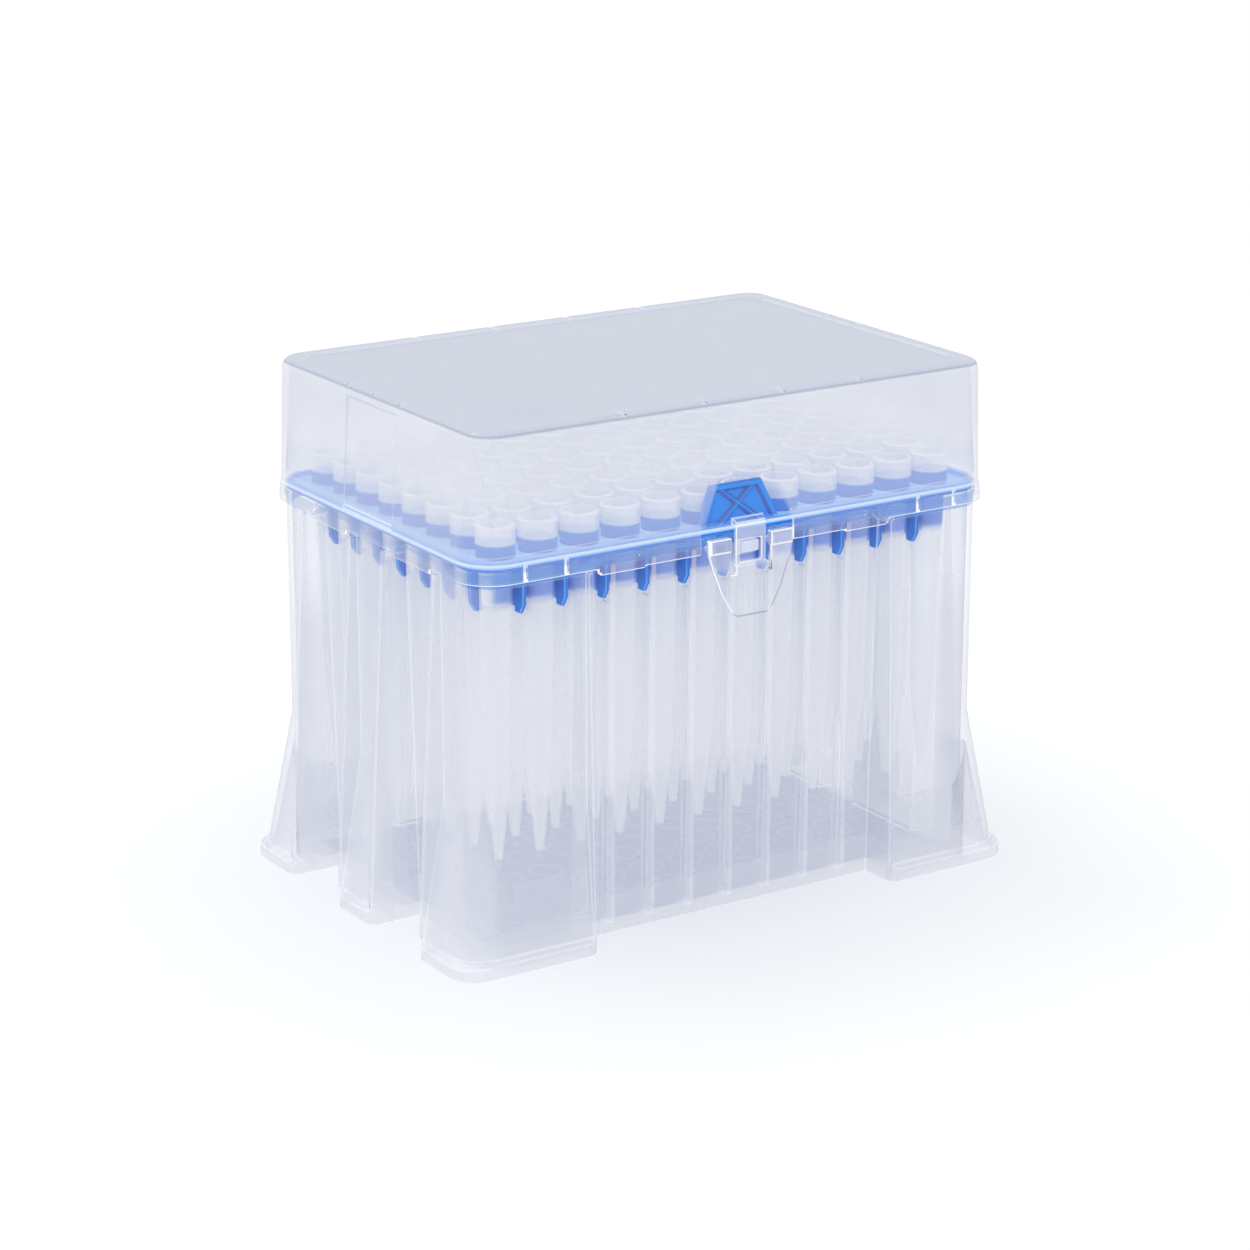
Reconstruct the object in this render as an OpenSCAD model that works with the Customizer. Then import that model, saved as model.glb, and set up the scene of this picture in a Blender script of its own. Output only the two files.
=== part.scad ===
// Hinged box of ninety-six filter pipette tips, standing on its feet.
// X runs along the long side, the latch faces -Y, the hinge faces +Y and Z is up.
// The origin is the centre of the footprint, on the surface that the box stands on.

/* [Footprint] */
// Length over the feet
foot_l = 127.76; // [127:0.02:128.5]
// Depth over the feet
foot_w = 85.48; // [85:0.02:86]
// Height of the upright edge of a foot
foot_h = 2.5; // [2:0.1:3]

/* [Tips] */
// Distance from one tip to the next
pitch = 9; // [9:0.01:9.02]
// Height of the tips' open ends above the floor
tip_top = 84; // [83:0.1:84.5]
// Height of the tips' points above the floor
tip_end = 18.9; // [17:0.1:21]
// Outer radius of a tip's collar
collar_r = 3.8; // [3.6:0.05:3.9]
// Radius of the hole in a tip's point
orifice_r = 0.4; // [0.3:0.05:0.5]

/* [Base] */
// Length of the base under its rim
base_l = 115.8; // [115.4:0.1:115.9]
// Depth of the base under its rim
base_w = 79; // [78.7:0.1:79.1]
// Height of the base's rim
rim_z = 76.9; // [76.5:0.1:77]
// Wall thickness of the base
wall = 1.1; // [0.9:0.05:1.2]
// Length of the front and rear recesses
bay_l = 67.8; // [66:0.1:69]
// Width of the middle post on each short side
post_w = 13.8; // [12.8:0.1:14.4]

/* [Tray] */
// Height of the tray's deck
deck_z = 77.9; // [77.6:0.1:78]
// Lower edge of the webs' legs under the deck
web_z = 66.4; // [65:0.1:70]
// Thickness of a web
web_t = 0.9; // [0.7:0.05:1.1]
// Height of the two lifting grips
grip_h = 8.8; // [7:0.1:9.5]

/* [Lid] */
// Height of the lid's top
lid_top = 102.9; // [100:0.1:105]
// Length of the lid at its top
lid_l = 114.8; // [114:0.1:115.4]
// Depth of the lid at its top
lid_w = 79.5; // [79:0.1:79.9]
// Length of the lid at its lower edge
skirt_l = 118.6; // [118.5:0.1:118.8]
// Depth of the lid at its lower edge
skirt_w = 81.7; // [81.6:0.1:81.9]
// Height of the lid's lower edge
skirt_z = 74.8; // [74.7:0.1:75]

/* [Latch] */
// Height of the latch tab's lower edge
tab_z = 61.2; // [59:0.1:63]
// Half width of the latch tab at its shoulders
tab_half = 9.6; // [9:0.1:10]

/* [Hidden] */
$fn = 48;
cols = 12;
rows = 8;

over = 0.5;                     // how far a cut passes the face it cuts
clear_plastic = [0.86, 0.88, 0.92, 0.55];
tray_blue = [0.05, 0.40, 0.85];
tip_white = [0.95, 0.96, 0.97, 0.8];
filter_white = [1, 1, 1];

base_r = 6.6;                   // plan radius of the base's corners
foot_r = 5.4;                   // plan radius of the feet's outer corners
foot_inner_r = 2.6;              // and of the feet's corners beside the recesses
foot_bevel = 1;                 // bevel above the feet's upright edge
floor_z = 0.8;                  // underside of the floor
floor_t = 1.4;
bay_y_low = 34.4;               // a long wall's outer face at the floor
bay_y_top = 36.2;               // and under the rim
side_x_low = 52.6;              // a short wall's outer face at the floor
side_x_top = 54.4;
bay_top = rim_z - wall;         // ceiling of every recess
bay_chamfer = 2.8;              // cut across a recess's upper corners, along the wall
bay_chamfer_h = 2.2;            // and its height
corner_y = 25;                  // where a corner post's short side begins
fin_t = 1.1;
fin_top = skirt_z - 0.5;        // the fins end below the lid's edge
fin_out_top = 1.6;              // how far a short side's fin stands out there
fin_front_top = 0.9;
flare_z = 31;                   // where a corner starts to flare out to its foot
flare_l = 125.6;                // size of the flare where it meets the feet
flare_w = 83.6;
flare_low = 4;
rib_t = 1;
tip_under = tip_top - 3.7;      // underside of a tip's collar
rib_in = 32.4;                  // inner edge of the long walls' ribs
rib_foot = 2.2;

lid_r = 5.3;
skirt_r = 8;
lid_fillet = 2;
lid_wall = 1.3;
skirt_wall = 1;
step_z = 78.5;                  // the lid's wall steps out to the skirt here
step_out = 0.2;
flap_z = 74;                    // lower edge of the skirt over each recess
snap_z = 73.6;                  // and of the two snap lips at the front
flap_end = 33.2;                // outer end of the front flaps
rise = (step_z - skirt_z) / (lid_top - skirt_z);
step_l = skirt_l - (skirt_l - lid_l) * rise;
step_w = skirt_w - (skirt_w - lid_w) * rise;
wall_top = lid_top - lid_fillet;  // the lid's sloping walls end here
draft_x = atan((step_l / 2 - step_out - lid_l / 2) / (wall_top - step_z + 1));
seat_z = 78.7;                  // the lid's inner ledge, which lands on the tray

pin_y = 41;                     // hinge pin
pin_z = 75.3;
pin_r = 1.1;
knuckle_x = 26;                 // centre of each hinge
knuckle_r = 1.65;
knuckle_w = 5;
ear_t = 2;
ear_gap = 5.6;

tab_gap = 10.4;                 // half width of the lid's cut-out for the latch
latch_y = -41;                  // inner face of the latch's strap
latch_t = 0.9;
strap_half = 3.4;
strap_z = 79;                   // where the strap bends
window_half = 2.4;
window_low = 71.8;
window_high = 76;
bar_low = 69.8;                 // cross bar under the window
bar_h = 1.6;
shoulder_z = 76.8;              // top of the tab's shoulders
tab_lean = 0.7;                 // how far the tab leans out at its lower edge

// ---- plan shapes ----

module rounded(l, w, r) {
    square([l - 2 * r, w], center = true);
    square([l, w - 2 * r], center = true);
    for (x = [-1, 1], y = [-1, 1])
        translate([x * (l / 2 - r), y * (w / 2 - r)]) circle(r);
}

module slab(l, w, r, z, h) {
    translate([0, 0, z]) linear_extrude(h) rounded(l, w, r);
}

module both_ends() {
    children();
    mirror([1, 0, 0]) children();
}

module both_sides() {
    children();
    mirror([0, 1, 0]) children();
}

module four_corners() {
    both_ends() both_sides() children();
}

// A profile drawn in X and Z, pushed along Y from y0 to y1
module along_y(y0, y1) {
    translate([0, y1, 0]) rotate([90, 0, 0]) linear_extrude(y1 - y0) children();
}

// A profile drawn in Y and Z, pushed along X from x0 to x1
module along_x(x0, x1) {
    translate([x0, 0, 0]) rotate([90, 0, 90]) linear_extrude(x1 - x0) children();
}

// ---- base ----

// The recess's outline from the front, with its upper corners cut across
module bay_face(half, top) {
    polygon([[-half, -over], [half, -over], [half, top - bay_chamfer_h],
             [half - bay_chamfer, top], [-half + bay_chamfer, top], [-half, top - bay_chamfer_h]]);
}

// Space outside a long wall; grow is the wall's thickness for the inner side
module long_bay(grow) {
    intersection() {
        along_y(-foot_w, 0) bay_face(bay_l / 2 + grow, bay_top + grow);
        along_x(-foot_l, foot_l)
            polygon([[-foot_w, -over], [-bay_y_low + grow, -over],
                     [-bay_y_top + grow, bay_top + wall], [-foot_w, bay_top + wall]]);
    }
}

// Space outside a short wall, between the middle post and a corner post
module short_bay(grow) {
    mid = (post_w / 2 + corner_y) / 2;
    half = (corner_y - post_w / 2) / 2;
    intersection() {
        translate([0, -mid, 0]) along_x(-foot_l, 0) bay_face(half + grow, bay_top + grow);
        along_y(-foot_w, foot_w)
            polygon([[-foot_l, -over], [-side_x_low + grow, -over],
                     [-side_x_top + grow, bay_top + wall], [-foot_l, bay_top + wall]]);
    }
}

module bays(grow) {
    both_sides() long_bay(grow);
    four_corners() short_bay(grow);
}

// The feet's skin: an upright edge with a bevel, open underneath
module foot_skin(inset, drop) {
    hull() {
        slab(foot_l - 2 * inset, foot_w - 2 * inset, foot_r - inset, -drop, foot_h + drop);
        slab(foot_l - 2 * (inset + foot_bevel), foot_w - 2 * (inset + foot_bevel),
             foot_r - inset, foot_h, foot_bevel - inset * 0.6);
    }
}

// The corners' flare, a thin skin that is open underneath
module flare(inset, drop) {
    hull() {
        slab(base_l - 2 * inset, base_w - 2 * inset, base_r - inset, flare_z - 0.1 - inset * 2, 0.1);
        slab(flare_l - 2 * inset, flare_w - 2 * inset, base_r - inset, foot_h - drop, flare_low - foot_h + drop);
    }
}

// What is taken off a foot's square corner to round it in plan
module corner_cut(x, y, turn) {
    translate([x, y, -over]) rotate(turn) linear_extrude(flare_low + over)
        difference() {
            translate([-over, -over]) square(foot_inner_r + over);
            translate([foot_inner_r, foot_inner_r]) circle(foot_inner_r);
        }
}

// The rounded corners of the feet, beside every recess
module foot_corners() {
    four_corners() {
        corner_cut(-bay_l / 2, -foot_w / 2, 90);
        corner_cut(-foot_l / 2, -corner_y, 270);
        corner_cut(-foot_l / 2, -post_w / 2, 0);
    }
}

// Fins along the edges of the posts, standing out more towards the feet
module fins() {
    foot_x = foot_l / 2 - 0.4;
    foot_y = foot_w / 2 - 0.4;
    four_corners() {
        for (y = [post_w / 2 - fin_t, corner_y])
            along_y(-y - fin_t, -y)
                polygon([[-side_x_top + wall, over], [-foot_x, over], [-foot_x, foot_h],
                         [-base_l / 2 - fin_out_top, fin_top], [-side_x_top + wall, fin_top]]);
        along_x(-bay_l / 2 - fin_t, -bay_l / 2)
            polygon([[-bay_y_top + wall, over], [-foot_y, over], [-foot_y, foot_h],
                     [-base_w / 2 - fin_front_top, fin_top], [-bay_y_top + wall, fin_top]]);
    }
}

// Ribs inside the long walls, one between each tip and the next
module wall_ribs() {
    both_sides()
        for (i = [-3 : 3])
            translate([i * pitch - rib_t / 2, -bay_y_top + 0.4, rib_foot])
                cube([rib_t, bay_y_top - rib_in - 0.4, web_z - 0.3 - rib_foot]);
}

// Ears that hold each hinge pin
module hinge_ears() {
    both_ends() {
        for (x = [-1, 1])
            translate([knuckle_x + x * (ear_gap + ear_t) / 2, 0, 0])
                along_x(-ear_t / 2, ear_t / 2) {
                    translate([pin_y, pin_z]) circle(1.55);
                    polygon([[bay_y_top - wall / 2, rim_z], [pin_y, rim_z],
                             [pin_y + 1.55, pin_z], [pin_y, pin_z - 1.55], [bay_y_top - wall / 2, 71]]);
                }
        translate([knuckle_x - ear_gap / 2 - 1, pin_y, pin_z]) rotate([0, 90, 0])
            cylinder(r = pin_r, h = ear_gap + 2);
    }
}

module base() color(clear_plastic) {
    difference() {
        union() {
            slab(base_l, base_w, base_r, 0, rim_z);
            foot_skin(0, 0);
            flare(0, 0);
        }
        bays(0);
        difference() {
            union() {
                slab(base_l - 2 * wall, base_w - 2 * wall, base_r - wall,
                     floor_z + floor_t, rim_z);
                slab(base_l - 2 * wall, base_w - 2 * wall, base_r - wall, -over, floor_z + over);
            }
            bays(wall);
        }
        difference() {
            union() {
                foot_skin(wall, over);
                flare(wall, 1);
            }
            slab(base_l, base_w, base_r, -1, rim_z);
            bays(wall);
        }
        foot_corners();
        // room for the lid's knuckles
        both_ends() translate([knuckle_x - ear_gap / 2, pin_y - 2, rim_z - 3])
            cube([ear_gap, 4, 4]);
    }
    difference() {
        fins();
        bays(-0.01);
        foot_corners();
    }
    wall_ribs();
    hinge_ears();
}

// ---- tray ----

// The tapered upright that a finger and thumb lift the tray by
module grip() {
    low = 9.3;
    high = 5.7;
    frame = 1.3;
    lean = 10.5;
    translate([0, -38.5, deck_z - 0.6]) rotate([-lean, 0, 0]) {
        along_y(0.6, 1.6) polygon([[-low, 0], [low, 0], [high, grip_h], [-high, grip_h]]);
        along_y(0, 0.7) {
            difference() {
                polygon([[-low, 0], [low, 0], [high, grip_h], [-high, grip_h]]);
                polygon([[-low + frame * 1.5, frame], [low - frame * 1.5, frame],
                         [high - frame * 0.8, grip_h - frame], [-high + frame * 0.8, grip_h - frame]]);
            }
            for (s = [-1, 1])
                polygon([[s * (low - 4.2), 0], [s * (low - 2.4), 0],
                         [-s * (high - 1.2), grip_h], [-s * (high - 0.2), grip_h]]);
        }
    }
}

// A web under the deck, with a leg at each end
module web_profile(reach) {
    polygon([[-reach, rim_z + 0.3], [-reach, web_z + 2], [-reach + 1.2, web_z], [-reach + 3.2, web_z],
             [-reach + 3.2, web_z + 1], [reach - 3.2, web_z + 1], [reach - 3.2, web_z],
             [reach - 1.2, web_z], [reach, web_z + 2], [reach, rim_z + 0.3]]);
}

module tray() color(tray_blue) {
    deck_l = base_l - 0.6;
    deck_w = base_w - 0.4;
    translate([0, 0, rim_z]) linear_extrude(deck_z - rim_z)
        difference() {
            rounded(deck_l, deck_w, base_r - 0.3);
            for (i = [0 : cols - 1], j = [0 : rows - 1])
                translate([(i - (cols - 1) / 2) * pitch, (j - (rows - 1) / 2) * pitch]) circle(3.45);
        }
    translate([0, 0, deck_z - 0.2]) linear_extrude(0.9)
        difference() {
            rounded(deck_l, deck_w, base_r - 0.3);
            rounded(deck_l - 1.8, deck_w - 1.8, base_r - 1.2);
        }
    for (i = [-5 : 5])
        along_x(i * pitch - web_t / 2, i * pitch + web_t / 2) web_profile(34.3);
    for (j = [-3 : 3])
        along_y(j * pitch - web_t / 2, j * pitch + web_t / 2) web_profile(52.6);
    both_sides() grip();
}

// ---- tips and filters ----

// Tip's outline: collar, step that rests on the deck, long barrel, fine point
module tip_profile() {
    polygon([[orifice_r, tip_end], [orifice_r + 0.35, tip_end], [2.5, tip_end + 16.6],
             [3.25, deck_z], [3.3, tip_under], [collar_r, tip_under],
             [collar_r, tip_top - 0.3], [collar_r - 0.3, tip_top], [3.05, tip_top],
             [2.6, 66], [1.95, tip_end + 16.6]]);
}

// Eight short ribs that the tip stands on, from the deck to the collar
module tip_ribs() {
    translate([0, 0, deck_z]) linear_extrude(tip_under - deck_z + 0.1)
        difference() {
            for (a = [0 : 45 : 135]) rotate(a + 22.5) square([2 * collar_r - 0.2, 0.5], center = true);
            circle(3.1);
        }
}

module tips_row(j) color(tip_white)
    for (i = [0 : cols - 1])
        translate([(i - (cols - 1) / 2) * pitch, (j - (rows - 1) / 2) * pitch, 0]) {
            rotate_extrude() tip_profile();
            tip_ribs();
        }

// Each filter is a porous plug that sits in the taper of its tip
module filters_row(j) color(filter_white)
    for (i = [0 : cols - 1])
        translate([(i - (cols - 1) / 2) * pitch, (j - (rows - 1) / 2) * pitch, 69])
            cylinder(r1 = 2.65, r2 = 2.78, h = 5);

// ---- lid ----

// One rounded corner of the lid's top
module top_corner(r, fillet, z) {
    translate([0, 0, z]) rotate_extrude($fn = 32) {
        square([r - fillet, fillet]);
        intersection() {
            translate([r - fillet, 0]) circle(fillet, $fn = 24);
            square([r, fillet]);
        }
    }
}

module lid_block() {
    hull() {
        slab(skirt_l, skirt_w, skirt_r, skirt_z, 0.1);
        slab(step_l, step_w, skirt_r, step_z - 0.1, 0.1);
    }
    hull() {
        slab(step_l - 2 * step_out, step_w - 2 * step_out, skirt_r - step_out, step_z - 1, 0.1);
        four_corners()
            translate([lid_l / 2 - lid_r, lid_w / 2 - lid_r, 0])
                top_corner(lid_r, lid_fillet, wall_top);
    }
}

module lid_space() {
    hull() {
        slab(skirt_l - 2 * skirt_wall, skirt_w - 2 * skirt_wall, skirt_r - skirt_wall,
             skirt_z - over, over + 0.1);
        slab(lid_l - 2 * lid_wall, lid_w - 2 * lid_wall, lid_r - lid_wall / 2,
             lid_top - 2.4, 1);
    }
}

// Shallow panel sunk in each short side, parallel to the sloping wall
module side_panel() {
    translate([-lid_l / 2, 0, wall_top]) rotate([0, draft_x, 0])
        translate([-2, -9.4, step_z - wall_top + 0.3]) cube([2.3, 18.8, wall_top - step_z - 0.6]);
}

module top_rim_notches() {
    for (x = [-26.5, -8.8, 8.8, 26.5])
        translate([x - 0.4, -lid_w / 2, lid_top - 0.4]) cube([0.8, lid_w, 1]);
    for (y = [-10, 0, 10])
        translate([-lid_l / 2, y - 0.4, lid_top - 0.4]) cube([lid_l, 0.8, 1]);
}

// Ledge inside the lid that lands on the tray's raised edge
module seat_ledge() {
    difference() {
        translate([0, 0, seat_z]) linear_extrude(0.9)
            difference() {
                rounded(skirt_l - 1.4, skirt_w - 1.2, skirt_r - 0.6);
                rounded(base_l - 2, base_w - 2, base_r - 1);
            }
        translate([-11, -skirt_w, seat_z - 1]) cube([22, 2 * skirt_w, 3]);
    }
}

// The skirt reaches lower over each recess, in straight flaps
module skirt_flaps() {
    intersection() {
        difference() {
            slab(skirt_l, skirt_w, skirt_r, snap_z, skirt_z - snap_z + 0.1);
            slab(skirt_l - 2 * skirt_wall, skirt_w - 2 * skirt_wall, skirt_r - skirt_wall,
                 snap_z - over, skirt_z - snap_z + 1);
        }
        union() {
            both_ends() {
                translate([tab_gap, -skirt_w, flap_z]) cube([flap_end - tab_gap, skirt_w, 2]);
                translate([flap_end - 10.5, -skirt_w, snap_z]) cube([10, skirt_w, 2]);
            }
            four_corners()
                translate([-skirt_l, -corner_y + 0.8, flap_z])
                    cube([skirt_l, corner_y - post_w / 2 - 1.6, 2]);
        }
    }
}

// Short upright ribs on the skirt beside the corner posts
module skirt_ribs() {
    both_ends()
        for (x = [40, 48.7])
            along_x(x - 0.25, x + 0.25)
                polygon([[-skirt_w / 2 + 0.3, skirt_z + 0.3], [-skirt_w / 2 - 0.15, skirt_z + 0.5],
                         [-skirt_w / 2 + 0.1, step_z - 0.5], [-skirt_w / 2 + 0.4, step_z - 0.3]]);
}

module hinge_arm() {
    along_x(-knuckle_w / 2, knuckle_w / 2) {
        translate([pin_y, pin_z]) circle(knuckle_r);
        polygon([[pin_y - 1.1, pin_z], [pin_y + knuckle_r, pin_z], [pin_y + 0.9, 78.6],
                 [pin_y - 0.6, 80.4], [pin_y - 1.1, 80.4]]);
    }
}

module lid() color(clear_plastic) {
    difference() {
        union() {
            difference() {
                lid_block();
                lid_space();
                slab(lid_l - 8, lid_w - 8, lid_r - 1, lid_top - 0.4, 1);
                both_ends() side_panel();
                top_rim_notches();
                translate([-tab_gap, -skirt_w, skirt_z - 1]) cube([2 * tab_gap, skirt_w, 4.4]);
                both_ends() translate([knuckle_x - 5.3, 0, skirt_z - 1])
                    cube([10.6, skirt_w, 4.2]);
            }
            seat_ledge();
            skirt_flaps();
            skirt_ribs();
            both_ends() translate([knuckle_x, 0, 0]) hinge_arm();
            // snap beads inside the front skirt
            both_ends() translate([23.4, -39.95, 75.8]) cube([4.9, 0.35, 0.9]);
            // boss that the latch strap hangs from
            along_x(-strap_half, strap_half)
                polygon([[-40.1, strap_z], [latch_y - latch_t, strap_z],
                         [latch_y - latch_t, strap_z + 0.5], [latch_y, strap_z + 0.9], [-40.1, strap_z + 1]]);
        }
        both_ends() translate([knuckle_x - knuckle_w, pin_y, pin_z]) rotate([0, 90, 0])
            cylinder(r = pin_r + 0.08, h = 2 * knuckle_w);
    }
}

// ---- latch ----

// Tab outline from the front
module tab_face() {
    polygon([[-tab_half, shoulder_z], [-tab_half, 74.2], [-tab_half + 0.9, 71],
             [-6.8, 66], [-4.6, tab_z + 1], [-3.2, tab_z], [3.2, tab_z], [4.6, tab_z + 1],
             [6.8, 66], [tab_half - 0.9, 71], [tab_half, 74.2], [tab_half, shoulder_z]]);
}

// Y of the tab's outer face at height z
function tab_y(z) = latch_y - latch_t - tab_lean * (shoulder_z - z) / (shoulder_z - tab_z);

module latch() color(clear_plastic) {
    outer = latch_y - latch_t;
    // strap with its window
    along_y(outer, latch_y) difference() {
        translate([-strap_half, 68]) square([2 * strap_half, strap_z - 68]);
        translate([-window_half, window_low]) square([2 * window_half, window_high - window_low]);
    }
    // cross bar under the window
    along_x(-strap_half - 0.3, strap_half + 0.3)
        translate([tab_y(bar_low) - 0.4, bar_low]) square([1, bar_h]);
    // leaning tab, slotted on both sides of the strap
    difference() {
        intersection() {
            along_y(outer - 2, latch_y + 1) tab_face();
            along_x(-tab_half, tab_half)
                polygon([[tab_y(tab_z), tab_z], [tab_y(tab_z) + latch_t, tab_z],
                         [latch_y, shoulder_z], [outer, shoulder_z]]);
        }
        for (x = [-1, 1])
            translate([x * (strap_half + 0.55) - 0.55, outer - 2, bar_low - 0.2]) cube([1.1, 4, 10]);
        translate([-strap_half - over, outer - 2, bar_low + bar_h]) cube([2 * strap_half + 2 * over, 4, 10]);
    }
    // lips that reach under the base's rim, one on each shoulder
    both_ends()
        along_x(strap_half + 1.1, tab_half - 0.4)
            polygon([[outer - 0.3, shoulder_z], [latch_y + 0.4, shoulder_z], [latch_y + 0.4, 75.6],
                     [-base_w / 2 - 0.15, 75.4], [-base_w / 2 - 0.15, 74.6], [latch_y, 74],
                     [outer - 0.4, 74.2]]);
    // upright grip ridges
    for (x = [-2.4 : 1.2 : 2.4])
        along_x(x - 0.2, x + 0.2)
            polygon([[tab_y(62.4) + 0.3, 62.4], [tab_y(62.4) - 0.12, 62.4],
                     [tab_y(67.6) - 0.12, 67.6], [tab_y(67.6) + 0.3, 67.6]]);
}

base();
tray();
lid();
latch();
tips_row(0);  // tips_row_a
tips_row(1);  // tips_row_b
tips_row(2);  // tips_row_c
tips_row(3);  // tips_row_d
tips_row(4);  // tips_row_e
tips_row(5);  // tips_row_f
tips_row(6);  // tips_row_g
tips_row(7);  // tips_row_h
filters_row(0);  // filters_row_a
filters_row(1);  // filters_row_b
filters_row(2);  // filters_row_c
filters_row(3);  // filters_row_d
filters_row(4);  // filters_row_e
filters_row(5);  // filters_row_f
filters_row(6);  // filters_row_g
filters_row(7);  // filters_row_h
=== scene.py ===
import itertools
import math
import bmesh
import bpy
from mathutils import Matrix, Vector
from mathutils.bvhtree import BVHTree


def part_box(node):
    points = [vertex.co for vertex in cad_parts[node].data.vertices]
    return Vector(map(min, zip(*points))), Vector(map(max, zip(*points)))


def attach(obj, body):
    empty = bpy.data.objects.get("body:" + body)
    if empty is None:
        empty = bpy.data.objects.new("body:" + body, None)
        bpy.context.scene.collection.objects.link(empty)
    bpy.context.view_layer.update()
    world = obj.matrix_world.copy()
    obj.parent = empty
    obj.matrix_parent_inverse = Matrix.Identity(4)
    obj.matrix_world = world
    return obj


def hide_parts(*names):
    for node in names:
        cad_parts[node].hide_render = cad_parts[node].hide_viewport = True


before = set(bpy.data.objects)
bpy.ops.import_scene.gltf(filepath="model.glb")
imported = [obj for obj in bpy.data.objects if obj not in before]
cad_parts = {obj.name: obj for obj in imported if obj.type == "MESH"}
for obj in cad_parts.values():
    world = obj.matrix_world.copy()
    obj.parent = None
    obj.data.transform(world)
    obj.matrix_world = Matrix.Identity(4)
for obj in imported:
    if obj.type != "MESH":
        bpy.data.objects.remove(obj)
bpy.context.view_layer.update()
print("frame loaded:", len(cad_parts), "nodes")

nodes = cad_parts
rowLetters = "abcdefgh"
tipPitch = 0.009
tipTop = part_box("tips_row_a")[1][2]
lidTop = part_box("lid")[1][2]
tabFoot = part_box("latch")[0][2]


# Helpers for node trees. Heights and lengths are in metres, in the box's own frame.

def newMaterial(name):
    mat = bpy.data.materials.new(name)
    mat.use_nodes = True
    tree = mat.node_tree
    tree.nodes.clear()
    out = tree.nodes.new("ShaderNodeOutputMaterial")
    return mat, tree, out


def put(tree, kind, inputs=None, **settings):
    node = tree.nodes.new(kind)
    for key, value in settings.items():
        setattr(node, key, value)
    for key, value in (inputs or {}).items():
        if isinstance(value, bpy.types.NodeSocket):
            tree.links.new(value, node.inputs[key])
        else:
            node.inputs[key].default_value = value
    return node


def maths(tree, kind, first, second=0.0):
    return put(tree, "ShaderNodeMath", {0: first, 1: second}, operation=kind).outputs[0]


def times(tree, first, *others):
    for other in others:
        first = maths(tree, "MULTIPLY", first, other)
    return first


def larger(tree, first, second):
    return maths(tree, "MAXIMUM", first, second)


def inverse(tree, value):
    return maths(tree, "SUBTRACT", 1.0, value)


def above(tree, value, limit):
    return maths(tree, "GREATER_THAN", value, limit)


def under(tree, value, limit):
    return maths(tree, "LESS_THAN", value, limit)


def unsigned(tree, value):
    return maths(tree, "ABSOLUTE", value)


def ramp(tree, value, low, high, start=0.0, end=1.0):
    node = put(tree, "ShaderNodeMapRange", {"Value": value, "From Min": low, "From Max": high,
                                            "To Min": start, "To Max": end},
               interpolation_type="SMOOTHSTEP")
    return node.outputs[0]


def blended(tree, share, first, second):
    return put(tree, "ShaderNodeMix", {0: share, 6: first, 7: second}, data_type="RGBA").outputs[2]


def layered(tree, share, first, second):
    return put(tree, "ShaderNodeMixShader", {0: share, 1: first.outputs[0], 2: second.outputs[0]})


# Steps of one pitch follow one another from zero: how far a value is from the middle of its step
def offCentre(tree, value, pitch):
    wrapped = put(tree, "ShaderNodeMath", {0: value, 1: pitch, 2: 0.0}, operation="WRAP")
    return maths(tree, "SUBTRACT", wrapped.outputs[0], pitch / 2)


def position(tree):
    coord = put(tree, "ShaderNodeTexCoord")
    return put(tree, "ShaderNodeSeparateXYZ", {0: coord.outputs["Object"]}).outputs


# A wall's inner face is left clear, so that each wall hazes what is behind it only once
def frontOnly(tree, value):
    geometry = put(tree, "ShaderNodeNewGeometry")
    return times(tree, value, inverse(tree, geometry.outputs["Backfacing"]))


def dress(name, mat):
    data = nodes[name].data
    data.materials.clear()
    data.materials.append(mat)
    for poly in data.polygons:
        poly.material_index = 0


# Soft cloudiness that every moulded surface has, shared as one group

mottleLook = {"detail": 3.0, "from": 0.35, "to": 0.65}


def mouldMottleGroup():
    group = bpy.data.node_groups.new("mouldMottle", "ShaderNodeTree")
    for name in ("Scale", "Low", "High"):
        group.interface.new_socket(name, in_out="INPUT", socket_type="NodeSocketFloat")
    group.interface.new_socket("Value", in_out="OUTPUT", socket_type="NodeSocketFloat")
    enter = group.nodes.new("NodeGroupInput")
    leave = group.nodes.new("NodeGroupOutput")
    coord = put(group, "ShaderNodeTexCoord")
    noise = put(group, "ShaderNodeTexNoise", {"Vector": coord.outputs["Object"],
                                              "Scale": enter.outputs["Scale"],
                                              "Detail": mottleLook["detail"]})
    fit = put(group, "ShaderNodeMapRange", {"Value": noise.outputs[0],
                                            "From Min": mottleLook["from"], "From Max": mottleLook["to"],
                                            "To Min": enter.outputs["Low"], "To Max": enter.outputs["High"]})
    group.links.new(fit.outputs[0], leave.inputs["Value"])
    return group


mottle = mouldMottleGroup()


def mottled(tree, scale, low=0.0, high=1.0):
    node = tree.nodes.new("ShaderNodeGroup")
    node.node_tree = mottle
    node.inputs["Scale"].default_value = scale
    node.inputs["Low"].default_value = low
    node.inputs["High"].default_value = high
    return node.outputs["Value"]


# Tips. The tray's blue shows through each tip's neck, from under the deck up to the collar.

tipLook = {"white": (0.86, 0.87, 0.9, 1), "blued": (0.06, 0.28, 0.78, 1), "under": (0.13, 0.25, 0.7, 1),
           "clear": (0.97, 0.975, 0.985, 1), "faceShare": 0.38, "rimShare": 0.72, "nearShare": 0.88,
           "capShare": 0.72, "collar": tipTop - 0.0038, "collarFade": 0.0005, "deck": 0.078,
           "blueFrom": 0.0678, "blueTo": 0.0702, "endFrom": 0.0509, "endTo": 0.053, "specular": 0.2,
           "grain": 500, "rough": (0.26, 0.36)}


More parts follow.
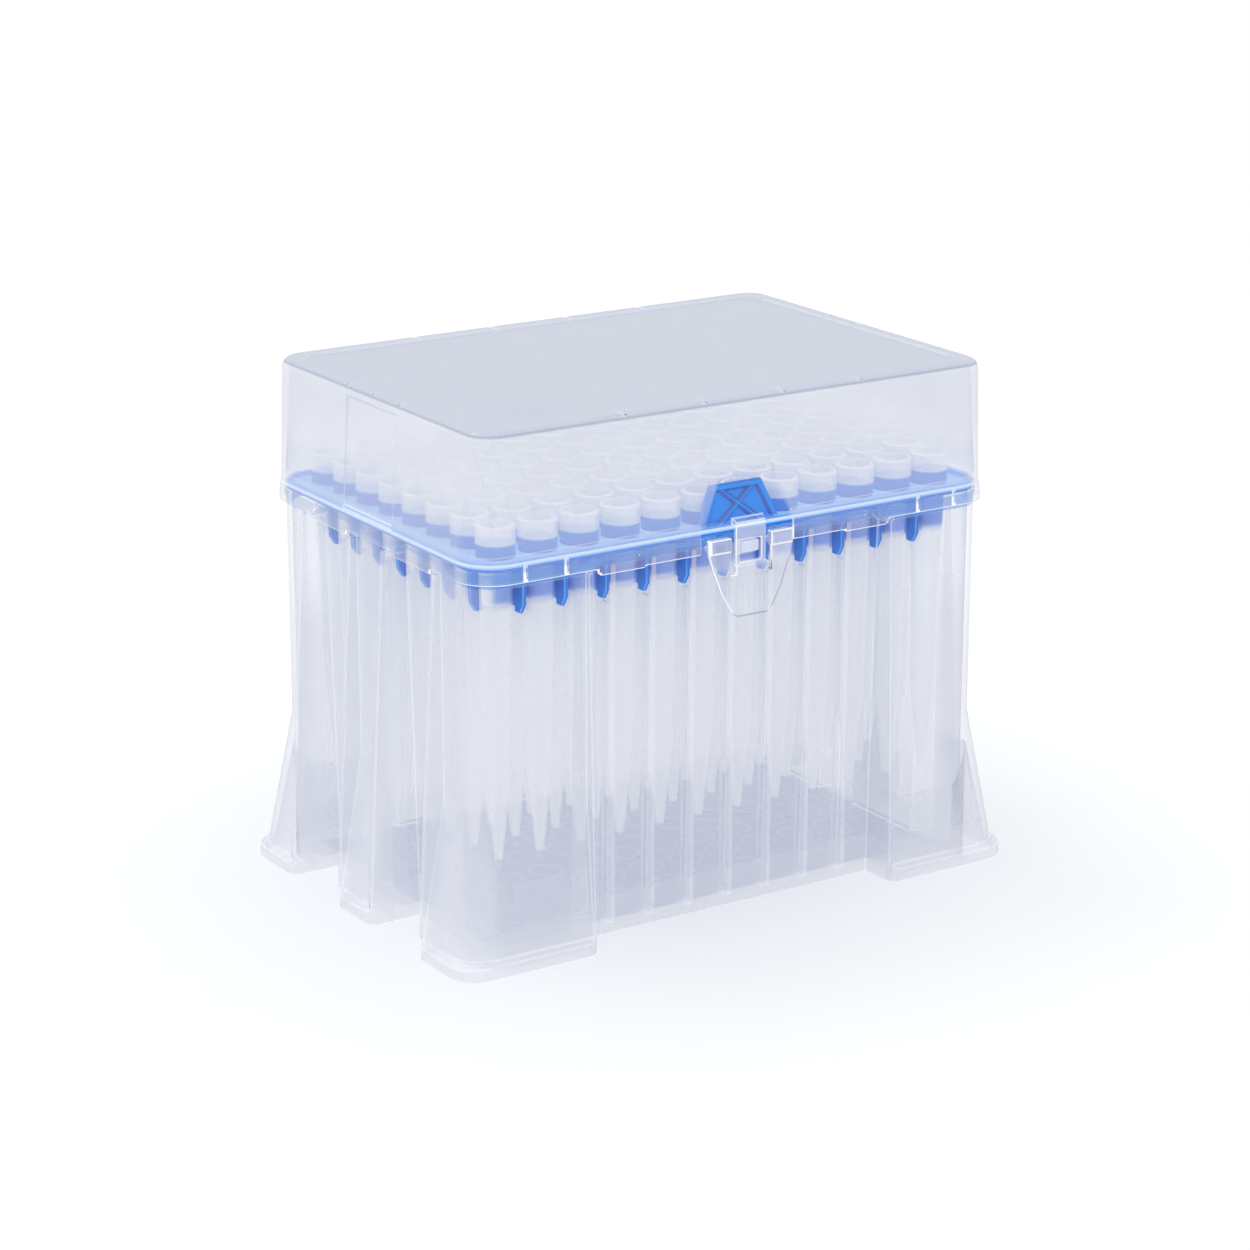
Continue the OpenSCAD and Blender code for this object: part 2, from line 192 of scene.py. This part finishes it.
def tipPlastic():
    mat, tree, out = newMaterial("tipPlastic")
    place = position(tree)
    height = place[2]
    overDeck = above(tree, height, tipLook["deck"])
    inner = ramp(tree, unsigned(tree, place[0]), tipLook["endFrom"], tipLook["endTo"], 1.0, 0.0)
    neck = ramp(tree, height, tipLook["collar"], tipLook["collar"] + tipLook["collarFade"], 1.0, 0.0)
    blue = times(tree, neck, ramp(tree, height, tipLook["blueFrom"], tipLook["blueTo"]),
                 larger(tree, inner, overDeck))
    tint = blended(tree, overDeck, tipLook["under"], tipLook["blued"])
    skin = put(tree, "ShaderNodeBsdfPrincipled", {
        "Base Color": blended(tree, blue, tipLook["white"], tint),
        "Specular IOR Level": tipLook["specular"],
        "Roughness": mottled(tree, tipLook["grain"], *tipLook["rough"])})
    clear = put(tree, "ShaderNodeBsdfTransparent", {"Color": tipLook["clear"]})
    facing = put(tree, "ShaderNodeLayerWeight", {"Blend": 0.5})
    share = put(tree, "ShaderNodeMapRange", {"Value": facing.outputs["Facing"],
                                             "To Min": tipLook["faceShare"], "To Max": tipLook["rimShare"]})
    kept = larger(tree, share.outputs[0], times(tree, blue, tipLook["nearShare"]))
    cap = above(tree, height, tipLook["collar"])
    kept = larger(tree, kept, times(tree, cap, tipLook["capShare"]))
    mix = layered(tree, frontOnly(tree, kept), clear, skin)
    tree.links.new(mix.outputs[0], out.inputs[0])
    return mat


# Porous filter plugs

filterLook = {"dark": (0.86, 0.86, 0.84, 1), "light": (0.93, 0.93, 0.91, 1), "grain": 2500,
              "roughGrain": 3000, "rough": (0.7, 0.95)}


def filterFoam():
    mat, tree, out = newMaterial("filterFoam")
    grain = mottled(tree, filterLook["grain"])
    skin = put(tree, "ShaderNodeBsdfPrincipled", {
        "Base Color": blended(tree, grain, filterLook["dark"], filterLook["light"]),
        "Roughness": mottled(tree, filterLook["roughGrain"], *filterLook["rough"])})
    tree.links.new(skin.outputs[0], out.inputs[0])
    return mat


tipMat = tipPlastic()
filterMat = filterFoam()
for letter in rowLetters:
    dress("tips_row_" + letter, tipMat)
    dress("filters_row_" + letter, filterMat)
print("tips and filters dressed")


# Clear plastic. Its veil is the share that hides what is behind, and it changes with height.

clearLook = {
    "base": {"tint": (0.978, 0.981, 0.988, 1), "rimTint": (0.9, 0.905, 0.93, 1),
             "skin": (0.68, 0.702, 0.775, 1), "veilLow": 0.28, "veilHigh": 0.015, "from": 0.045, "to": 0.062,
             "rim": 0.6, "falloff": 2.8, "rough": 0.32},
    "lid": {"tint": (0.975, 0.978, 0.985, 1), "rimTint": (0.83, 0.845, 0.885, 1),
            "skin": (0.745, 0.763, 0.82, 1), "veilLow": 0.33, "veilHigh": 0.78, "from": 0.085, "to": 0.092,
            "rim": 0.55, "falloff": 2.0, "rough": 0.22},
    "latch": {"tint": (0.985, 0.988, 0.995, 1), "rimTint": (0.88, 0.9, 0.94, 1),
              "skin": (0.78, 0.8, 0.87, 1), "veilLow": 0.1, "veilHigh": 0.4, "from": 0.0695, "to": 0.0715,
              "rim": 0.6, "falloff": 1.6, "rough": 0.2},
    "catch": {"tint": (0.985, 0.988, 0.995, 1), "rimTint": (0.9, 0.92, 0.95, 1),
              "skin": (0.82, 0.85, 0.92, 1), "veilLow": 0.72, "veilHigh": 0.72, "from": 0.0, "to": 1.0,
              "rim": 0.85, "falloff": 1.6, "rough": 0.2},
}
# outline is painted shade: a grey-blue colour that the clear skin takes on where it turns edge-on
plasticLook = {"darker": 0.97, "grain": 90, "roughGrain": 220, "roughSpread": 0.05, "specular": 0.12,
               "outline": (0.36, 0.38, 0.46, 1), "outlineFalloff": 5.0, "ior": 1.45, "shineLimit": 0.07,
               "shineRough": 0.5}


# zones is a function that adds what only one moulding has, and gives back its colour and veil
def clearPlastic(name, look, zones=None):
    mat, tree, out = newMaterial(name)
    place = position(tree)
    facing = put(tree, "ShaderNodeLayerWeight", {"Blend": 0.5}).outputs["Facing"]
    steep = maths(tree, "POWER", facing, look["falloff"])
    tint = blended(tree, steep, look["tint"], look["rimTint"])
    through = put(tree, "ShaderNodeBsdfTransparent", {"Color": tint})
    darker = tuple(part * plasticLook["darker"] for part in look["skin"][:3]) + (1,)
    colour = blended(tree, mottled(tree, plasticLook["grain"]), darker, look["skin"])
    veil = ramp(tree, place[2], look["from"], look["to"], look["veilLow"], look["veilHigh"])
    if zones:
        colour, veil = zones(tree, place, look, colour, veil)
    # Painted shade: the skin darkens towards the grazing shade colour where the surface turns edge-on
    outline = maths(tree, "POWER", facing, plasticLook["outlineFalloff"])
    skin = put(tree, "ShaderNodeBsdfPrincipled", {
        "Base Color": blended(tree, outline, colour, plasticLook["outline"]),
        "Specular IOR Level": plasticLook["specular"],
        "Roughness": mottled(tree, plasticLook["roughGrain"], look["rough"] - plasticLook["roughSpread"],
                             look["rough"] + plasticLook["roughSpread"])})
    seen = times(tree, inverse(tree, veil), inverse(tree, times(tree, steep, look["rim"])))
    hazed = layered(tree, frontOnly(tree, inverse(tree, seen)), through, skin)
    shine = put(tree, "ShaderNodeBsdfGlossy", {"Color": (1, 1, 1, 1),
                                               "Roughness": look["rough"] * plasticLook["shineRough"]})
    fresnel = put(tree, "ShaderNodeFresnel", {"IOR": plasticLook["ior"]})
    gloss = maths(tree, "MINIMUM", fresnel.outputs[0], plasticLook["shineLimit"])
    glossed = layered(tree, frontOnly(tree, gloss), hazed, shine)
    tree.links.new(glossed.outputs[0], out.inputs[0])
    return mat


# The base's own zones: floor with painted shade, feet, ribs, posts, and the band where the tray's blue shows
# through the rim

# The floor slab's skin is painted shade: dark grey-blue inside the walls, with a lighter ring colour under
# each tip
floorShadeLook = {"skin": (0.47, 0.51, 0.67, 1), "ring": (0.56, 0.6, 0.75, 1), "veil": 0.75, "halfX": 0.0525,
             "halfY": 0.0338, "top": 0.003, "ringsFrom": 0.002, "ringR": 0.0033, "ringWide": 0.0006}
footLook = {"veil": 0.5, "from": 0.007, "to": 0.011}
ribLook = {"skin": (0.82, 0.835, 0.89, 1), "veil": 0.36, "half": 0.00055, "endX": 0.0325,
           "inner": 0.032, "outer": 0.0366, "foot": 0.0022}
postLook = {"skin": (0.785, 0.805, 0.868, 1), "top": 0.55, "veil": 0.45, "from": 0.051, "to": 0.057}
bandLook = {"skin": (0.06, 0.27, 0.75, 1), "long": 0.66, "short": 0.24, "from": 0.0736, "to": 0.0742,
            "stop": 0.0785, "sideFrom": 0.031, "sideTo": 0.039}


def onFloor(tree, place):
    inX = under(tree, unsigned(tree, place[0]), floorShadeLook["halfX"])
    inY = under(tree, unsigned(tree, place[1]), floorShadeLook["halfY"])
    return times(tree, inX, inY, under(tree, place[2], floorShadeLook["top"]))


# One shallow ring under each tip
def floorRings(tree, place):
    squares = []
    for axis in range(2):
        offset = offCentre(tree, place[axis], tipPitch)
        squares.append(times(tree, offset, offset))
    radius = maths(tree, "SQRT", maths(tree, "ADD", squares[0], squares[1]))
    away = unsigned(tree, maths(tree, "SUBTRACT", radius, floorShadeLook["ringR"]))
    return times(tree, ramp(tree, away, 0.0, floorShadeLook["ringWide"], 1.0, 0.0),
                 above(tree, place[2], floorShadeLook["ringsFrom"]))


# The ribs inside the long walls stand between one column of tips and the next
def onRibs(tree, place):
    offset = offCentre(tree, maths(tree, "ADD", place[0], tipPitch / 2), tipPitch)
    depth = unsigned(tree, place[1])
    return times(tree, under(tree, unsigned(tree, offset), ribLook["half"]),
                 under(tree, unsigned(tree, place[0]), ribLook["endX"]),
                 above(tree, depth, ribLook["inner"]), under(tree, depth, ribLook["outer"]),
                 above(tree, place[2], ribLook["foot"]))


def baseZones(tree, place, look, colour, veil):
    height = place[2]
    # Painted shade on the floor slab inside the walls
    floor = onFloor(tree, place)
    ringed = blended(tree, floorRings(tree, place), floorShadeLook["skin"], floorShadeLook["ring"])
    colour = blended(tree, floor, colour, ringed)
    veil = larger(tree, veil, times(tree, floor, floorShadeLook["veil"]))
    veil = larger(tree, veil, ramp(tree, height, footLook["from"], footLook["to"], footLook["veil"], 0.0))
    ribs = onRibs(tree, place)
    colour = blended(tree, ribs, colour, ribLook["skin"])
    veil = larger(tree, veil, times(tree, ribs, ribLook["veil"]))
    posts = ramp(tree, unsigned(tree, place[0]), postLook["from"], postLook["to"], 0.0, postLook["veil"])
    colour = blended(tree, posts, colour, postLook["skin"])
    lower = ramp(tree, height, look["from"], look["to"], 1.0, postLook["top"])
    veil = larger(tree, veil, times(tree, posts, lower))
    band = times(tree, ramp(tree, height, bandLook["from"], bandLook["to"]),
                 under(tree, height, bandLook["stop"]))
    colour = blended(tree, band, colour, bandLook["skin"])
    side = ramp(tree, unsigned(tree, place[1]), bandLook["sideFrom"], bandLook["sideTo"],
                bandLook["short"], bandLook["long"])
    return colour, larger(tree, veil, times(tree, band, side))


# The lid's own zones: roof with painted shade, skirt, and a clearer patch of wall where each grip leans
# close to it

# The roof's skin is painted shade, greyer than the walls, and line is a darker painted shade line round the
# edge of the roof panel
roofShadeLook = {"skin": (0.53, 0.575, 0.675, 1), "line": (0.4, 0.44, 0.53, 1), "veil": 0.96,
            "from": lidTop - 0.0012, "to": lidTop - 0.0008, "lineTo": lidTop - 0.0004}
skirtLook = {"share": 0.3, "from": 0.0777, "to": 0.0783}
gripWindow = {"veil": 0.012, "from": 0.0098, "to": 0.0112, "foot": 0.0778, "taper": 0.42, "low": 0.0868,
              "high": 0.09}


def lidZones(tree, place, look, colour, veil):
    height = place[2]
    # Painted shade: the roof greys, with a darker line at its edge
    roof = ramp(tree, height, roofShadeLook["from"], roofShadeLook["to"])
    panel = ramp(tree, height, roofShadeLook["to"], roofShadeLook["lineTo"])
    colour = blended(tree, roof, colour, blended(tree, panel, roofShadeLook["line"], roofShadeLook["skin"]))
    risen = times(tree, maths(tree, "SUBTRACT", height, gripWindow["foot"]), gripWindow["taper"])
    across = maths(tree, "ADD", unsigned(tree, place[0]), larger(tree, risen, 0.0))
    outside = larger(tree, ramp(tree, across, gripWindow["from"], gripWindow["to"]),
                     ramp(tree, height, gripWindow["low"], gripWindow["high"]))
    veil = times(tree, veil, larger(tree, outside, gripWindow["veil"] / look["veilLow"]),
                 ramp(tree, height, skirtLook["from"], skirtLook["to"], skirtLook["share"], 1.0))
    return colour, larger(tree, veil, times(tree, roof, roofShadeLook["veil"]))


# The latch's own zone: a painted shade line round the right side and the foot of its tab.
# upper and lower are the slopes of its side above and below the knee.

tabShadeLine = {"skin": (0.3, 0.32, 0.4, 1), "veil": 0.7, "wide": 0.00045, "kneeX": 0.0068, "kneeZ": 0.066,
           "upper": 0.38, "lower": 0.58, "top": 0.0712, "right": 0.001}


def latchZones(tree, place, look, colour, veil):
    rise = maths(tree, "SUBTRACT", place[2], tabShadeLine["kneeZ"])
    side = maths(tree, "MINIMUM", times(tree, rise, tabShadeLine["upper"]),
                 times(tree, rise, tabShadeLine["lower"]))
    across = maths(tree, "SUBTRACT", unsigned(tree, place[0]), side)
    sides = times(tree, above(tree, across, tabShadeLine["kneeX"] - tabShadeLine["wide"]),
                  above(tree, place[0], tabShadeLine["right"]))
    foot = under(tree, place[2], tabFoot + tabShadeLine["wide"])
    line = times(tree, larger(tree, sides, foot), under(tree, place[2], tabShadeLine["top"]))
    # Painted shade along the tab's right side and foot
    colour = blended(tree, line, colour, tabShadeLine["skin"])
    return colour, larger(tree, veil, times(tree, line, tabShadeLine["veil"]))


# Rounded edges of the clear mouldings: their pale lines are partly the milky scatter of moulded edges and
# partly painted highlight, and their grey lines are painted shade

# Edge colours are painted light: white and pale lines are painted highlight, grey lines are painted shade
edgeLightLook = {    # from each height up: colour, and the share that hides what is behind
    "base": [(0.0, (0.82, 0.84, 0.9, 1), 0.42), (0.0747, (0.82, 0.84, 0.9, 1), 0.1)],
    "lid": [(0.0, (0.95, 0.97, 1.0, 1), 1.0), (0.0768, (0.72, 0.8, 0.94, 1), 0.7),
            (0.0803, (0.66, 0.69, 0.76, 1), 0.6), (lidTop - 0.0019, (0.6, 0.64, 0.72, 1), 0.85)],
}
edgeLineLook = {"fade": 0.0004, "grain": 300, "rough": (0.16, 0.26)}


def paintedEdgeLines(mat, tree, out, colour, share):
    skin = put(tree, "ShaderNodeBsdfPrincipled", {
        "Base Color": colour, "Roughness": mottled(tree, edgeLineLook["grain"], *edgeLineLook["rough"])})
    through = put(tree, "ShaderNodeBsdfTransparent", {"Color": (1, 1, 1, 1)})
    mix = layered(tree, frontOnly(tree, share), through, skin)
    tree.links.new(mix.outputs[0], out.inputs[0])
    return mat


def edgePlastic(name, zones):
    mat, tree, out = newMaterial(name)
    height = position(tree)[2]
    colour, share = zones[0][1:]
    for start, nextColour, nextShare in zones[1:]:
        over = ramp(tree, height, start - edgeLineLook["fade"], start + edgeLineLook["fade"])
        colour = blended(tree, over, colour, nextColour)
        share = maths(tree, "ADD", times(tree, inverse(tree, over), share), times(tree, over, nextShare))
    return paintedEdgeLines(mat, tree, out, colour, share)


# The latch's edges carry a painted highlight on the left of its tab, and painted shade on the right and at
# the foot

latchEdgeLight = {"bright": (0.95, 0.96, 0.99, 1), "grey": (0.22, 0.23, 0.3, 1), "greyFrom": 0.002,
              "greyTo": 0.005, "footGrey": 0.7, "footFrom": tabFoot + 0.0006, "footTo": tabFoot + 0.0012,
              "upperFrom": 0.07, "upperTo": 0.0725, "upper": 0.85,
              "ridges": 0.2, "ridgesEnd": 0.0028, "tab": 1.0, "tabFrom": 0.0034}


def latchEdge():
    mat, tree, out = newMaterial("latchEdge")
    place = position(tree)
    upper = ramp(tree, place[2], latchEdgeLight["upperFrom"], latchEdgeLight["upperTo"])
    right = ramp(tree, place[0], latchEdgeLight["greyFrom"], latchEdgeLight["greyTo"])
    foot = ramp(tree, place[2], latchEdgeLight["footFrom"], latchEdgeLight["footTo"], latchEdgeLight["footGrey"], 0.0)
    grey = times(tree, larger(tree, right, foot), inverse(tree, upper))
    colour = blended(tree, grey, latchEdgeLight["bright"], latchEdgeLight["grey"])
    share = ramp(tree, unsigned(tree, place[0]), latchEdgeLight["ridgesEnd"], latchEdgeLight["tabFrom"],
                 latchEdgeLight["ridges"], latchEdgeLight["tab"])
    share = larger(tree, share, times(tree, upper, latchEdgeLight["upper"]))
    return paintedEdgeLines(mat, tree, out, colour, share)


# Blue plastic of the tray: its deck's top and grips are lighter, and its legs darker, than the rest

trayLook = {"deep": (0.0, 0.19, 0.76, 1), "light": (0.0, 0.225, 0.84, 1), "edge": (0.1, 0.34, 0.86, 1),
            "deck": (0.24, 0.48, 0.9, 1), "deckFrom": 0.0775, "grip": (0.0, 0.245, 0.86, 1),
            "rib": (0.0, 0.11, 0.5, 1), "ribFrom": 0.0788, "ribTo": 0.0863,
            "leg": (0.0, 0.17, 0.68, 1), "legUnder": 0.0735, "specular": 0.1, "grain": 60, "edgeGrain": 200,
            "roughGrain": 400, "rough": (0.3, 0.42), "edgeRough": (0.25, 0.35)}


def bluePlastic():
    mat, tree, out = newMaterial("trayBlue")
    height = position(tree)[2]
    colour = blended(tree, mottled(tree, trayLook["grain"]), trayLook["deep"], trayLook["light"])
    colour = blended(tree, above(tree, height, trayLook["deckFrom"]), colour, trayLook["deck"])
    colour = blended(tree, above(tree, height, trayLook["ribFrom"]), colour, trayLook["grip"])
    colour = blended(tree, under(tree, height, trayLook["legUnder"]), colour, trayLook["leg"])
    skin = put(tree, "ShaderNodeBsdfPrincipled", {
        "Base Color": colour, "Specular IOR Level": trayLook["specular"],
        "Roughness": mottled(tree, trayLook["roughGrain"], *trayLook["rough"])})
    tree.links.new(skin.outputs[0], out.inputs[0])
    return mat


# Painted highlight: the tray's rounded edges are lighter blue than its faces, and on the grip's ribs they
# are darker
def blueEdge():
    mat, tree, out = newMaterial("trayEdge")
    height = position(tree)[2]
    ribbed = times(tree, above(tree, height, trayLook["ribFrom"]), under(tree, height, trayLook["ribTo"]))
    colour = blended(tree, mottled(tree, trayLook["edgeGrain"]), trayLook["light"], trayLook["edge"])
    skin = put(tree, "ShaderNodeBsdfPrincipled", {
        "Base Color": blended(tree, ribbed, colour, trayLook["rib"]),
        "Roughness": mottled(tree, trayLook["roughGrain"], *trayLook["edgeRough"])})
    tree.links.new(skin.outputs[0], out.inputs[0])
    return mat


# Shells: the four mouldings again, with their sharp edges rounded

shellLook = {    # sharp: degrees between two faces, past which their edge is rounded
    "base": {"piece": "base_shell", "body": "box_base", "slot": "clear_body", "width": 0.00025, "sharp": 38},
    "lid": {"piece": "lid_shell", "body": "lid", "slot": "clear_lid", "width": 0.00025, "sharp": 32},
    "latch": {"piece": "latch_shell", "body": "latch", "slot": "clear_latch", "width": 0.0002, "sharp": 32},
    "tray": {"piece": "tray_shell", "body": "box_base", "slot": "tray_blue", "width": 0.00025, "sharp": 32},
}
sliverUnder = 24     # degrees between two edges, under which only the longer one is rounded
mergeWithin = 1e-6


def edgesToRound(bm, sharpFrom):
    sharp = math.radians(sharpFrom)
    chosen = {e for e in bm.edges if len(e.link_faces) == 2 and e.calc_face_angle(0) > sharp}
    nearly = math.cos(math.radians(sliverUnder))
    for vert in bm.verts:
        around = [e for e in vert.link_edges if e in chosen]
        for first, second in itertools.combinations(around, 2):
            one = (first.other_vert(vert).co - vert.co).normalized()
            two = (second.other_vert(vert).co - vert.co).normalized()
            if one.dot(two) > nearly and first in chosen and second in chosen:
                chosen.discard(min(first, second, key=lambda e: e.calc_length()))
    return [e for e in bm.edges if e in chosen]


def roundedShell(name, skinMat, edgeMat):
    look = shellLook[name]
    bm = bmesh.new()
    bm.from_mesh(nodes[name].data)
    bmesh.ops.remove_doubles(bm, verts=bm.verts, dist=mergeWithin)
    before = BVHTree.FromBMesh(bm)
    made = bmesh.ops.bevel(bm, geom=edgesToRound(bm, look["sharp"]), offset=look["width"],
                           offset_type="OFFSET", segments=1, profile=0.5, affect="EDGES",
                           clamp_overlap=False, material=-1)
    for face in bm.faces:
        face.material_index = 0
    for face in made["faces"]:
        face.material_index = 1
    for vert in bm.verts:    # a corner that the bevel threw off goes back to the old surface
        nearest = before.find_nearest(vert.co)
        if nearest[3] > look["width"]:
            vert.co = nearest[0]
    mesh = bpy.data.meshes.new(look["piece"])
    bm.to_mesh(mesh)
    bm.free()
    mesh.materials.append(skinMat)
    mesh.materials.append(edgeMat)
    piece = bpy.data.objects.new(look["piece"], mesh)
    bpy.context.scene.collection.objects.link(piece)
    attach(piece, look["body"])
    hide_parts(name)
    return piece


roundedShell("tray", bluePlastic(), blueEdge())
seeThrough = [
    roundedShell("base", clearPlastic("clearBody", clearLook["base"], baseZones),
                 edgePlastic("clearEdge", edgeLightLook["base"])),
    roundedShell("lid", clearPlastic("clearLid", clearLook["lid"], lidZones),
                 edgePlastic("lidEdge", edgeLightLook["lid"])),
    roundedShell("latch", clearPlastic("clearLatch", clearLook["latch"], latchZones), latchEdge()),
]
for piece in seeThrough + [nodes["tips_row_" + letter] for letter in rowLetters]:
    piece.visible_shadow = False       # light reaches what stands inside
    piece.visible_diffuse = False
print("shells made:", ", ".join(shellLook))


# Catch on the base's rim, behind the latch's window

catchLook = {"halfX": 0.002, "low": 0.0724, "high": 0.0756, "back": -0.0393, "front": -0.04172,
             "slope": 0.0011, "round": 0.0003}


def latchCatch():
    look = catchLook
    bm = bmesh.new()
    bmesh.ops.create_cube(bm, size=1.0)
    middle = Vector((0, (look["front"] + look["back"]) / 2, (look["low"] + look["high"]) / 2))
    size = (2 * look["halfX"], look["back"] - look["front"], look["high"] - look["low"])
    bmesh.ops.scale(bm, vec=size, verts=bm.verts)
    bmesh.ops.translate(bm, vec=middle, verts=bm.verts)
    toe = [v for v in bm.verts if v.co.y < middle.y and v.co.z < middle.z]
    bmesh.ops.translate(bm, vec=(0, 0, look["slope"]), verts=toe)
    bmesh.ops.bevel(bm, geom=bm.edges[:], offset=look["round"], offset_type="OFFSET", segments=3,
                    profile=0.5, affect="EDGES", material=-1)
    mesh = bpy.data.meshes.new("latch_catch")
    bm.to_mesh(mesh)
    bm.free()
    mesh.materials.append(clearPlastic("clearCatch", clearLook["catch"]))
    piece = bpy.data.objects.new("latch_catch", mesh)
    bpy.context.scene.collection.objects.link(piece)
    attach(piece, "box_base")
    piece.visible_shadow = False


latchCatch()
print("catch made")


# Floor, surround and lamps

stageLook = {"floorSize": 3, "floorColour": (0.94, 0.94, 0.94, 1), "floorRough": 0.9, "floorSpecular": 0.1,
             "worldColour": (0.985, 0.99, 1.0, 1), "worldStrength": 0.985}
softBoxes = {
    "topSoft": {"place": (-0.25, 0.5, 0.9), "target": (0, 0, 0.09), "size": (0.5, 0.35), "power": 0.7},
    "leftSoft": {"place": (-0.9, 0.1, 0.5), "target": (0, 0, 0.05), "size": (0.5, 0.5), "power": 0.06},
}
sunLook = {"strength": 0.3, "spread": 50, "turn": (14, -16, 0)}    # degrees
cameraLook = {"place": (-0.3653, -0.5649, 0.2552), "turn": (72.90, 0, -32.81), "lens": 101.84,
              "sensor": 36}


def placed(name, data, place=(0, 0, 0), degrees=(0, 0, 0)):
    thing = bpy.data.objects.new(name, data)
    thing.location = place
    thing.rotation_euler = [math.radians(a) for a in degrees]
    bpy.context.scene.collection.objects.link(thing)
    return thing


def paleFloor():
    bm = bmesh.new()
    bmesh.ops.create_grid(bm, x_segments=1, y_segments=1, size=stageLook["floorSize"])
    data = bpy.data.meshes.new("floor")
    bm.to_mesh(data)
    bm.free()
    mat, tree, out = newMaterial("paleFloor")
    skin = put(tree, "ShaderNodeBsdfPrincipled", {
        "Base Color": stageLook["floorColour"], "Roughness": stageLook["floorRough"],
        "Specular IOR Level": stageLook["floorSpecular"]})
    tree.links.new(skin.outputs[0], out.inputs[0])
    data.materials.append(mat)
    placed("floor", data)


def softSurround():
    world = bpy.data.worlds.new("softSurround")
    bpy.context.scene.world = world
    world.use_nodes = True
    sky = world.node_tree.nodes["Background"]
    sky.inputs[0].default_value = stageLook["worldColour"]
    sky.inputs[1].default_value = stageLook["worldStrength"]


def softBox(name, look):
    data = bpy.data.lights.new(name, "AREA")
    data.shape = "RECTANGLE"
    data.size, data.size_y = look["size"]
    data.energy = look["power"]
    lamp = placed(name, data, look["place"])
    towards = Vector(look["target"]) - Vector(look["place"])
    lamp.rotation_euler = towards.to_track_quat("-Z", "Y").to_euler()


def overheadSun():
    data = bpy.data.lights.new("overhead", "SUN")
    data.energy = sunLook["strength"]
    data.angle = math.radians(sunLook["spread"])
    placed("overhead", data, degrees=sunLook["turn"])


paleFloor()
softSurround()
for name, look in softBoxes.items():
    softBox(name, look)
overheadSun()

camData = bpy.data.cameras.new("camera")
camData.lens = cameraLook["lens"]
camData.sensor_width = cameraLook["sensor"]
bpy.context.scene.camera = placed("camera", camData, cameraLook["place"], cameraLook["turn"])
bpy.context.scene.view_settings.view_transform = "Standard"
bpy.context.scene.cycles.transparent_max_bounces = 20    # many clear walls stand behind one another
print("stage and camera set")
